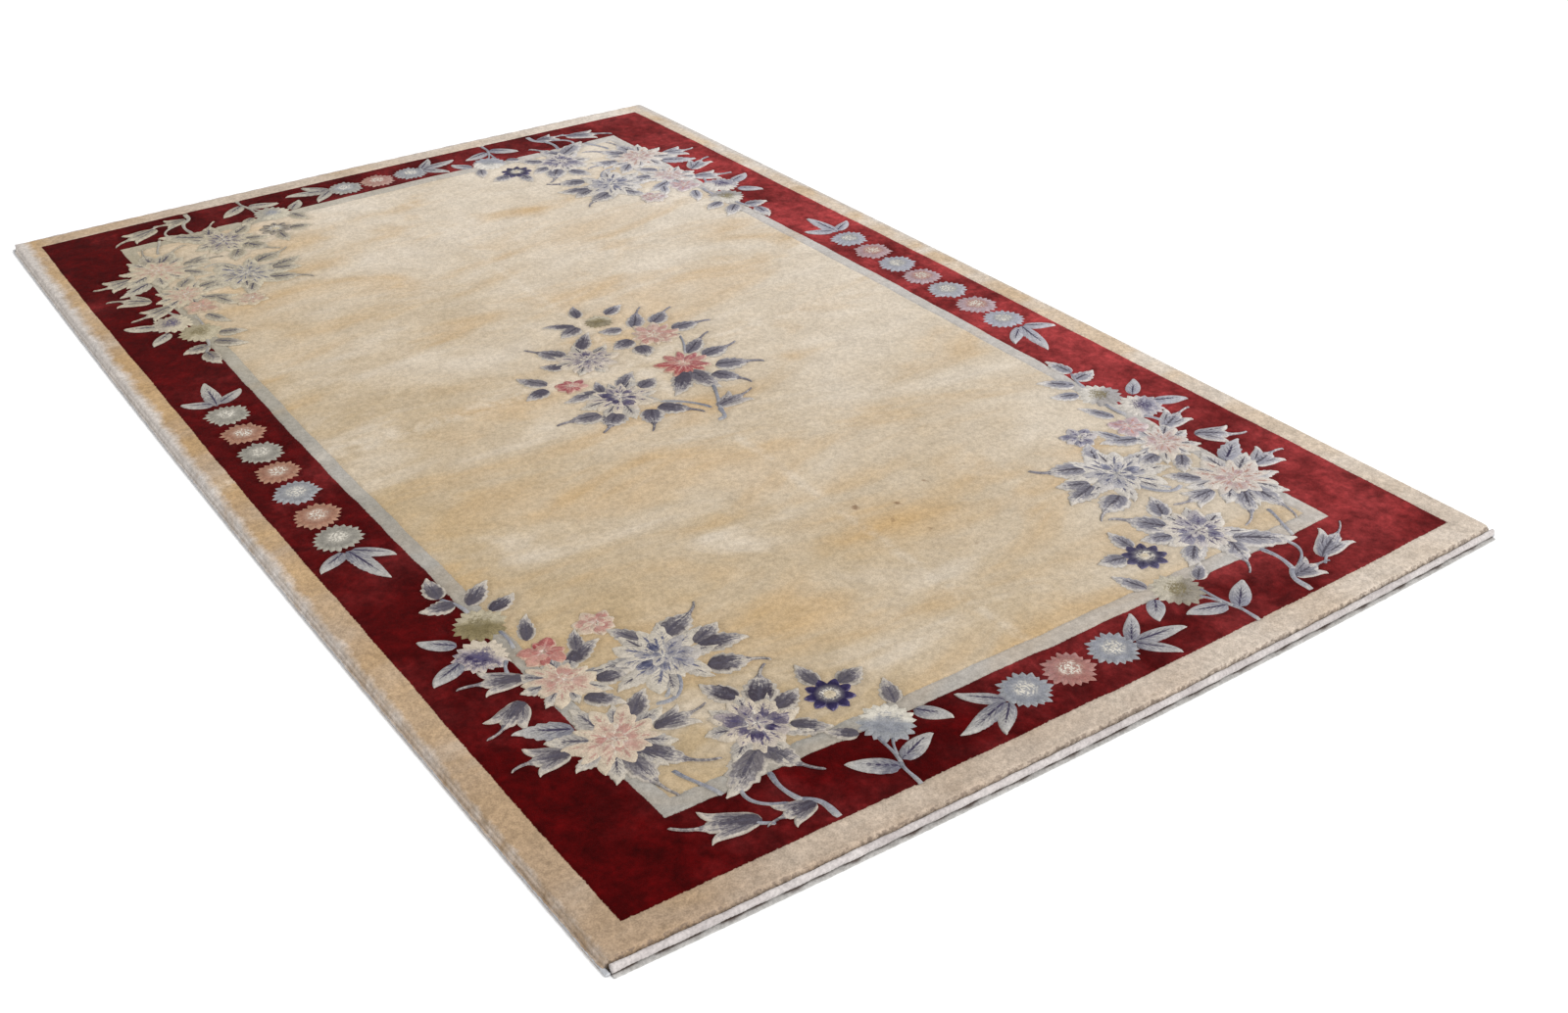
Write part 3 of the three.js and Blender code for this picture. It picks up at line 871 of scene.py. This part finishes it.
def lay_flowers(spray, flowers):
    for number, flower in enumerate(flowers):
        silk = spray.odd_flowers.get(number, flower.silk)
        if flower.kind in FLOWER_RINGS:
            lay_peony(spray, silk, flower.place, flower.radius, number, FLOWER_RINGS[flower.kind])
        elif flower.kind == "aster":
            lay_aster(spray, flower.place, flower.radius)
        else:
            lay_head(spray, silk, flower.place, flower.radius, rays=17, tone_side=HALF_HEAD_SIDES[silk])


def lay_corner(spray):
    draw = random.Random(11)
    lay_stems(spray, CORNER_STEMS)
    lay_leaves(spray, CORNER_FIELD_LEAVES, "leaf", draw)
    for leaf in CORNER_BORDER_LEAVES:
        lay_leaves(spray, [leaf], "leaf" if leaf.kind == "lobed" else "border_leaf", draw)
    lay_flowers(spray, CORNER_FLOWERS)


def lay_centre(spray):
    draw = random.Random(12)
    lay_stems(spray, CENTRE_STEMS)
    lay_leaves(spray, CENTRE_LEAVES, "deep_leaf", draw)
    lay_flowers(spray, CENTRE_FLOWERS)


def lay_long_row(spray):
    """Lay a long side's row of heads. Those of the left side have yellowed."""
    draw = random.Random(13)
    lay_leaves(spray, LONG_ROW_LEAVES, "border_leaf", draw)
    yellowed = {"slate": "sage", "salmon": "tan"} if spray.mirror == (1, 1) else {}
    for silk, x in LONG_ROW:
        lay_head(spray, yellowed.get(silk, silk), (x, LONG_ROW_Y), HEAD_RADIUS)


def lay_short_row(spray):
    draw = random.Random(14)
    lay_leaves(spray, SHORT_ROW_LEAVES, "border_leaf", draw)
    for silk, y in SHORT_ROW:
        lay_head(spray, silk, (SHORT_ROW_X, y), HEAD_RADIUS)


def close_underneath(mesh, level, steps=()):
    """Wall an open surface down to a level and fill its underside. The steps splay the wall on its way."""
    rim = [edge for edge in mesh.edges if edge.is_boundary]
    for edge in rim:
        edge.smooth = False
    splay = 0.0
    for next_level, next_splay in (*steps, (level, 0.0)):
        walls = bmesh.ops.extrude_edge_only(mesh, edges=rim)["geom"]
        for vert in (item for item in walls if isinstance(item, bmesh.types.BMVert)):
            vert.co.z = next_level
            if steps and abs(vert.co.y) > DRAWN_Y - 6 * MM:
                vert.co.y += math.copysign(next_splay - splay, vert.co.y)
        rim = [item for item in walls if isinstance(item, bmesh.types.BMEdge) and item.is_boundary]
        splay = next_splay
    bmesh.ops.holes_fill(mesh, edges=rim, sides=0)
    bmesh.ops.recalc_face_normals(mesh, faces=mesh.faces)


def to_piece(mesh, name, materials):
    """Turn a bmesh into a finished object with its place in its mesh."""
    data = bpy.data.meshes.new(name)
    for face in mesh.faces:
        face.smooth = True
    mesh.to_mesh(data)
    mesh.free()
    for material in materials:
        data.materials.append(material)
    piece = bpy.data.objects.new(name, data)
    bpy.context.collection.objects.link(piece)
    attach(piece, "root")
    return piece


SPRAYS = {
    "spray_near_left": (lay_corner, (1, 1)),
    "spray_near_right": (lay_corner, (1, -1)),
    "spray_far_left": (lay_corner, (-1, 1)),
    "spray_far_right": (lay_corner, (-1, -1)),
    "spray_centre": (lay_centre, (1, 1)),
    "row_left": (lay_long_row, (1, 1)),
    "row_right": (lay_long_row, (1, -1)),
    "row_near": (lay_short_row, (1, 1)),
    "row_far": (lay_short_row, (-1, 1)),
}


# Flowers that the knotter dyed differently in one corner, by their number in the table
ODD_FLOWERS = {"spray_near_right": {2: "ochre", 3: "violet"}}


def make_sprays(motif_materials):
    pieces = []
    footprints = []
    for name, (lay, mirror) in SPRAYS.items():
        spray = Spray(mirror, ODD_FLOWERS.get(name, {}))
        lay(spray)
        footprints += [(vert.co.x, vert.co.y) for vert in spray.mesh.verts]
        close_underneath(spray.mesh, MOTIF_UNDERSIDE)
        piece = to_piece(spray.mesh, name, [motif_materials[silk] for silk in spray.silks])
        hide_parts("rug_cloth")
        pieces.append(piece)
    tree = KDTree(len(footprints))
    for number, (x, y) in enumerate(footprints):
        tree.insert((x, y, 0), number)
    tree.balance()
    return pieces, tree


def on_plan(x, y):
    """Where a point of the drawing lies on the rug, whose sides bow and whose lines stray a little."""
    s = x / DRAWN_X
    t = y / DRAWN_Y
    near = PILE_CORNERS["near_left"].lerp(PILE_CORNERS["near_right"], (1 + t) / 2)
    far = PILE_CORNERS["far_left"].lerp(PILE_CORNERS["far_right"], (1 + t) / 2)
    place = far.lerp(near, (1 + s) / 2)
    place.x += (1 - t * t) * (PILE_BOWS["near"] * (1 + s) - PILE_BOWS["far"] * (1 - s)) / 2
    place.y += (1 - s * s) * (PILE_BOWS["right"] * (1 + t) - PILE_BOWS["left"] * (1 - t)) / 2
    free = (1 - s ** 16) * (1 - t ** 16)
    stray_x = 1.3 * math.sin(11 * y + 3 * s) + 0.7 * math.sin(37 * y + 1) + 0.4 * math.sin(91 * y)
    stray_y = 1.5 * math.sin(7 * x + 2 * t) + 0.7 * math.sin(29 * x + 2) + 0.4 * math.sin(83 * x)
    kink = free * 2.4 * MM * math.tanh((y - 0.01) / 0.018)
    place.x += free * MM * stray_x
    place.x += kink * smooth(x, 0.95, 1.1) * smooth(abs(y), 0.35, 0.1)
    place.y += free * MM * stray_y
    return place


def rounded_corner(x, y):
    """Pull a point near one of the drawing's corners in, so that the corner is round."""
    over_x = (abs(x) - DRAWN_X + CORNER_ROUNDING) / CORNER_ROUNDING
    over_y = (abs(y) - DRAWN_Y + CORNER_ROUNDING) / CORNER_ROUNDING
    if over_x <= 0 or over_y <= 0:
        return x, y
    shrink = max(over_x, over_y) / math.hypot(over_x, over_y)
    new_x = DRAWN_X - CORNER_ROUNDING + over_x * shrink * CORNER_ROUNDING
    new_y = DRAWN_Y - CORNER_ROUNDING + over_y * shrink * CORNER_ROUNDING
    return math.copysign(new_x, x), math.copysign(new_y, y)


RIM_STEPS = [0.3 * MM, 1.0 * MM, 2.2 * MM, 3.6 * MM, PILE_ROUNDING]

# The long sides' pile splays out over the side cords: heights over the floor, and how far out it stands
SPLAY_STEPS = ((11 * MM, 2.2 * MM), (8 * MM, 2.7 * MM), (6.2 * MM, 2.4 * MM), (5.7 * MM, 0.0))


def grid_lines(low, high, lines, half):
    """Places of a grid's lines: an even pitch, closer at the pile's rim and at each carved line."""
    count = round((high - low) / GROUND_PITCH)
    even = [low + (high - low) * i / count for i in range(1, count)]
    fine = [sign * line + step for line in lines for sign in (-1, 1) for step in (-LINE_HALF, 0, LINE_HALF)]
    fine += [sign * (half - step) for step in RIM_STEPS for sign in (-1, 1)]
    fine = [place for place in fine if low < place < high]
    clear = [place for place in even if all(abs(place - other) > 1.4 * MM for other in fine)]
    return sorted([low, high, *clear, *fine])


def pile_height(x, y):
    """The sheared surface's height over the floor, without the motifs' beds."""
    inset = min(DRAWN_X - abs(x), DRAWN_Y - abs(y))
    drop = 0.0
    if inset < PILE_ROUNDING:
        drop = PILE_ROUNDING - math.sqrt(max(0.0, PILE_ROUNDING ** 2 - (PILE_ROUNDING - inset) ** 2))
    for band in BANDS:
        off = max(abs(x) - band.half_x, abs(y) - band.half_y)
        drop += LINE_DEPTH * max(0.0, 1 - abs(off) / LINE_HALF)
    uneven = 0.5 + 0.25 * math.sin(9 * x + 2 * y) + 0.25 * math.sin(13 * y - 3 * x)
    return PILE_TOP - drop - 0.7 * MM * uneven


def make_pile_piece(name, x_from, x_to, footprints, material):
    """One length of the pile: a fine grid laid on the plan, sunk round the motifs and walled to the floor."""
    lines_x = grid_lines(x_from, x_to, [band.half_x for band in BANDS], DRAWN_X)
    lines_y = grid_lines(-DRAWN_Y, DRAWN_Y, [band.half_y for band in BANDS], DRAWN_Y)
    steps_x, steps_y = len(lines_x) - 1, len(lines_y) - 1
    draw = random.Random(name)
    ragged_x = [draw.uniform(0, 0.7) * MM for _ in lines_x]
    ragged_y = [draw.uniform(0, 2.2) * MM for _ in lines_y]
    mesh = bmesh.new()
    bmesh.ops.create_grid(mesh, x_segments=steps_x, y_segments=steps_y, size=0.5)
    drawn_layer = mesh.verts.layers.float_vector.new("drawn")
    sunk_layer = mesh.verts.layers.float.new("sunk")
    for vert in mesh.verts:
        column = round((vert.co.x + 0.5) * steps_x)
        row = round((vert.co.y + 0.5) * steps_y)
        x, y = lines_x[column], lines_y[row]
        height = pile_height(x, y)
        vert[drawn_layer] = (x, y, 0)
        place = on_plan(*rounded_corner(x, y))
        place.x -= math.copysign(ragged_y[row] * smooth(abs(x), DRAWN_X - 8 * MM, DRAWN_X - MM), x)
        place.y -= math.copysign(ragged_x[column] * smooth(abs(y), DRAWN_Y - 8 * MM, DRAWN_Y - MM), y)
        near = footprints.find((place.x, place.y, 0))[2]
        sunk = 1 - smooth(near, BED_FULL, BED_END)
        vert[sunk_layer] = sunk
        vert.co = (place.x, place.y, height - BED_DEPTH * sunk)
    close_underneath(mesh, 0.0, SPLAY_STEPS)
    piece = to_piece(mesh, name, [material])
    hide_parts("rug_cloth")
    return piece


THIRD = 0.395
PILE_LENGTHS = {
    "pile_near": (THIRD, DRAWN_X),
    "pile_middle": (-THIRD, THIRD),
    "pile_far": (-DRAWN_X, -THIRD),
}


def lay_strip(mesh, curve, steps, around, section):
    """A tube round a curve: curve(t) gives a point and its outward vector, section(t, a) the radii."""
    made = bmesh.ops.create_grid(mesh, x_segments=steps, y_segments=around, size=0.5)
    for vert in made["verts"]:
        t = vert.co.x + 0.5
        turn = 2 * math.pi * (vert.co.y + 0.5)
        centre, outward = curve(t)
        out, up = section(t, turn)
        spot = centre + outward * out
        vert.co = (spot.x, spot.y, spot.z + up)
    bmesh.ops.remove_doubles(mesh, verts=made["verts"], dist=0.02 * MM)
    ends = [edge for edge in mesh.edges if edge.is_boundary]
    bmesh.ops.holes_fill(mesh, edges=ends, sides=0)
    bmesh.ops.recalc_face_normals(mesh, faces=mesh.faces)


# The four sides of the rug's own outline, as in its solids
OUTER_CORNERS = {
    "near_left": Vector((1.211, -0.736)),
    "near_right": Vector((1.211, 0.741)),
    "far_right": Vector((-1.220, 0.741)),
    "far_left": Vector((-1.210, -0.739)),
}
Side = namedtuple("Side", "start end bow")
SIDES = {
    "near": Side("near_left", "near_right", 13 * MM),
    "right": Side("near_right", "far_right", 8 * MM),
    "far": Side("far_right", "far_left", 9 * MM),
    "left": Side("far_left", "near_left", 11.5 * MM),
}


def side_curve(side, inset, height):
    """A function that gives points along one side, inset from the outline, and the way out there."""
    row = SIDES[side]
    start, end = OUTER_CORNERS[row.start], OUTER_CORNERS[row.end]
    run = (end - start).normalized()
    outward = Vector((run.y, -run.x))
    trim = STRIP_TRIM / (end - start).length

    def at(t):
        s = trim + (1 - 2 * trim) * t
        spot = start.lerp(end, s) + outward * (4 * row.bow * s * (1 - s) - inset)
        return Vector((spot.x, spot.y, height)), Vector((outward.x, outward.y, 0))

    return at


ROLL_GAP = 0.3 * MM
ROLL_HALF_OUT = 4.2 * MM
ROLL_PITCH = 5.5 * MM
CORD_PITCH = 4.2 * MM
CORD_TUCK = 0.5 * MM


def make_roll(side, material):
    """The padded end roll, whipped with cotton yarn in slanting turns."""
    low, high = (Vector(corner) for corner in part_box(f"end_roll_{side}"))
    half_up = 0.5 * (high.z - low.z)
    curve = side_curve(side, WEB_REACH - ROLL_GAP - ROLL_HALF_OUT, low.z + half_up)
    length = high.y - low.y
    turns = length / ROLL_PITCH
    draw = random.Random(side)
    phases = [draw.uniform(0, 6.3) for _ in range(3)]

    def section(t, turn):
        slant = turn / (2 * math.pi)
        wrap = abs(math.sin(math.pi * (t * turns + slant)))
        lumps = math.sin(31 * t + phases[0]) + math.sin(83 * t + phases[1])
        lumps += 1.6 * math.sin(241 * t + phases[2])
        size = 0.82 + 0.07 * wrap + 0.032 * lumps
        return ROLL_HALF_OUT * math.cos(turn) * size, half_up * math.sin(turn) * size

    mesh = bmesh.new()
    lay_strip(mesh, curve, round(turns * 4), 14, section)
    piece = to_piece(mesh, f"end_roll_{side}_whipped", [material])
    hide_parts(f"end_roll_{side}")
    return piece


def make_cord(side, material):
    """The side cord, overcast with cotton yarn."""
    low, high = (Vector(corner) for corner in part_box(f"side_cord_{side}"))
    half = 0.5 * (high.z - low.z)
    curve = side_curve(side, half + CORD_TUCK, half)
    length = high.x - low.x
    turns = length / CORD_PITCH

    def section(t, turn):
        slant = turn / (2 * math.pi)
        wrap = abs(math.sin(math.pi * (t * turns + slant)))
        size = 0.9 + 0.1 * wrap
        return (half + CORD_TUCK) * math.cos(turn) * size, half * math.sin(turn) * size

    mesh = bmesh.new()
    lay_strip(mesh, curve, round(turns * 4), 8, section)
    piece = to_piece(mesh, f"side_cord_{side}_overcast", [material])
    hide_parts(f"side_cord_{side}")
    return piece


def make_web(side, material):
    """The cotton foundation's narrow ledge past the pile at one short end, with its ragged weft edge."""
    curve = side_curve(side, 0.0, 0.0)
    mesh = bmesh.new()
    bmesh.ops.create_grid(mesh, x_segments=360, y_segments=5, size=0.5)
    roll_shadow_layer = mesh.verts.layers.float.new("roll_shadow")
    draw = random.Random(side)
    rag = [draw.uniform(-0.6, 0.0) * MM for _ in range(361)]
    for vert in mesh.verts:
        t = vert.co.x + 0.5
        depth = vert.co.y + 0.5
        # Painted shadow: how far each point of the web lies in under the roll
        vert[roll_shadow_layer] = smooth(depth + 0.2 * math.sin(53 * t) * math.sin(171 * t), 0.25, 0.45)
        centre, outward = curve(t)
        inset = 0.6 * MM + depth * (WEB_REACH + 1.5 * MM)
        ragged = rag[round(t * 360)] * (1 - depth)
        spot = centre - outward * (inset - ragged)
        rounding = 0.7 * MM * (1 - min(1.0, depth * 5))
        vert.co = (spot.x, spot.y, WEB_THICKNESS - rounding)
    close_underneath(mesh, 0.0)
    piece = to_piece(mesh, f"web_{side}", [material])
    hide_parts("rug_cloth")
    return piece


def make_floor():
    """A wide floor of matt paint: an even near white, with no shine of its own."""
    material, tree = new_material("pale_studio_floor")
    place = add(tree, "TexCoord").outputs["Object"]
    grain = add(tree, "TexNoise", {"Vector": place, "Scale": 2.0})
    colour = add(tree, "Mix", {"Factor": grain, "A": "#fbfbfb", "B": "#ffffff"}, data_type="RGBA")
    shader = add(tree, "BsdfPrincipled", {"Base Color": colour, "Roughness": 0.9})
    finish_material(tree, shader)
    mesh = bmesh.new()
    bmesh.ops.create_grid(mesh, x_segments=1, y_segments=1, size=15)
    data = bpy.data.meshes.new("floor")
    mesh.to_mesh(data)
    mesh.free()
    data.materials.append(material)
    floor = bpy.data.objects.new("floor", data)
    floor.location.z = -0.5 * MM
    bpy.context.collection.objects.link(floor)


def make_light():
    """Even studio light from all sides, a little stronger from the near right."""
    world = bpy.data.worlds.new("studio")
    bpy.context.scene.world = world
    world.use_nodes = True
    world.node_tree.nodes["Background"].inputs["Color"].default_value = (1, 1, 1, 1)
    world.node_tree.nodes["Background"].inputs["Strength"].default_value = 0.78
    sun = bpy.data.lights.new("window", "SUN")
    sun.energy = 1.9
    sun.angle = math.radians(14)
    lamp = bpy.data.objects.new("window", sun)
    lamp.rotation_euler = Vector((0.8, 0.3, 0.75)).to_track_quat("Z", "Y").to_euler()
    bpy.context.collection.objects.link(lamp)
    view = bpy.context.scene.view_settings
    view.view_transform = "Standard"
    view.look = "None"


motif_materials = {name: make_motif_material(name) for name in MOTIF_SILKS}
ground_material = make_ground_material()
roll_cotton = make_cotton_material("whipped_cotton_roll", "#c8c1be", "#aea6a4", 1.2)
cord_cotton = make_cotton_material("overcast_cotton_cord", "#c5c7cb", "#adaeb3", 0.8)
web_cotton = make_cotton_material("woven_cotton_web", "#bdbbb8", "#a3a09c", 1.0)

sprays, footprints = make_sprays(motif_materials)
piles = [
    make_pile_piece(name, x_from, x_to, footprints, ground_material)
    for name, (x_from, x_to) in PILE_LENGTHS.items()
]
ends = [make_roll(side, roll_cotton) for side in ("near", "far")]
cords = [make_cord(side, cord_cotton) for side in ("left", "right")]
webs = [make_web(side, web_cotton) for side in ("near", "far")]

make_floor()
make_light()
